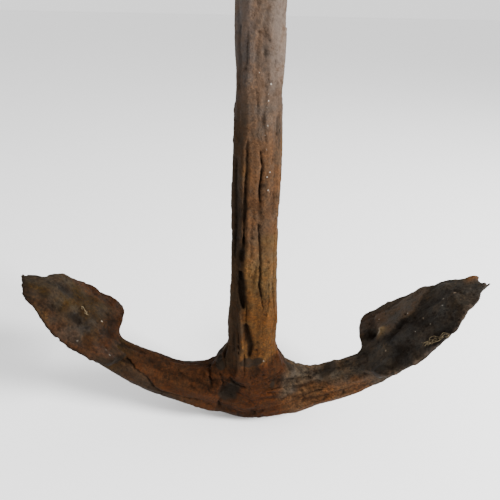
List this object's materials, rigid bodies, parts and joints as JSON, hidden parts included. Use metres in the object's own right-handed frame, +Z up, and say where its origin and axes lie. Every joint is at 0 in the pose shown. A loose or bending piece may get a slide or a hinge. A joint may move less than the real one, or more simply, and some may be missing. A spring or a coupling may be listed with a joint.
{
  "type": "boat anchor",
  "caption": "Old forged iron anchor with curved arms, spade-shaped palms, a removable round stock with a bent end, and a bow shackle on a bolt at the head of its shank.",
  "frame": {"origin": "the inside of the top of the shackle's bow, where a chain bears", "axes": "+Z up along the shank from the crown to the shackle, +X along the arms towards the longer palm, +Y along the straight end of the stock"},
  "size_m": [0.5, 0.752, 0.8659],
  "materials": {
    "forging": "thick flaking rust",
    "palms": "dark scale and rust",
    "stock": "even rust",
    "shackle": "even rust"
  },
  "bodies": {
    "shackle": {"shackle_bow": "shackle"},
    "bolt": {"shackle_bolt": "shackle", "bolt_washer": "shackle"},
    "forelock": {"bolt_forelock": "shackle"},
    "anchor": {"shank": "forging", "crown": "forging", "left_arm": "forging", "right_arm": "forging", "left_palm": "palms", "right_palm": "palms"},
    "stock": {"stock_bar": "stock", "stock_shoulder": "stock", "stock_ball_straight_end": "stock", "stock_ball_bent_end": "stock"},
    "key": {"stock_key": "stock"}
  },
  "joints": [
    {"name": "shackle_swing", "type": "hinge", "parent": "shackle", "child": "anchor", "pos_m": [0, 0, -0.076], "axis": [1, 0, 0], "range_deg": [-130, 130]},
    {"name": "bolt_turn", "type": "hinge", "parent": "shackle", "child": "bolt", "pos_m": [0, 0, -0.076], "axis": [1, 0, 0], "continuous": true},
    {"name": "forelock_slide", "type": "slide", "parent": "bolt", "child": "forelock", "axis": [0, 0, 1], "range_m": [0, 0.034]},
    {"name": "stock_turn", "type": "hinge", "parent": "anchor", "child": "stock", "pos_m": [0, 0, -0.152], "axis": [0, 1, 0], "continuous": true},
    {"name": "key_slide", "type": "slide", "parent": "stock", "child": "key", "axis": [0, 0, 1], "range_m": [0, 0.05]}
  ]
}
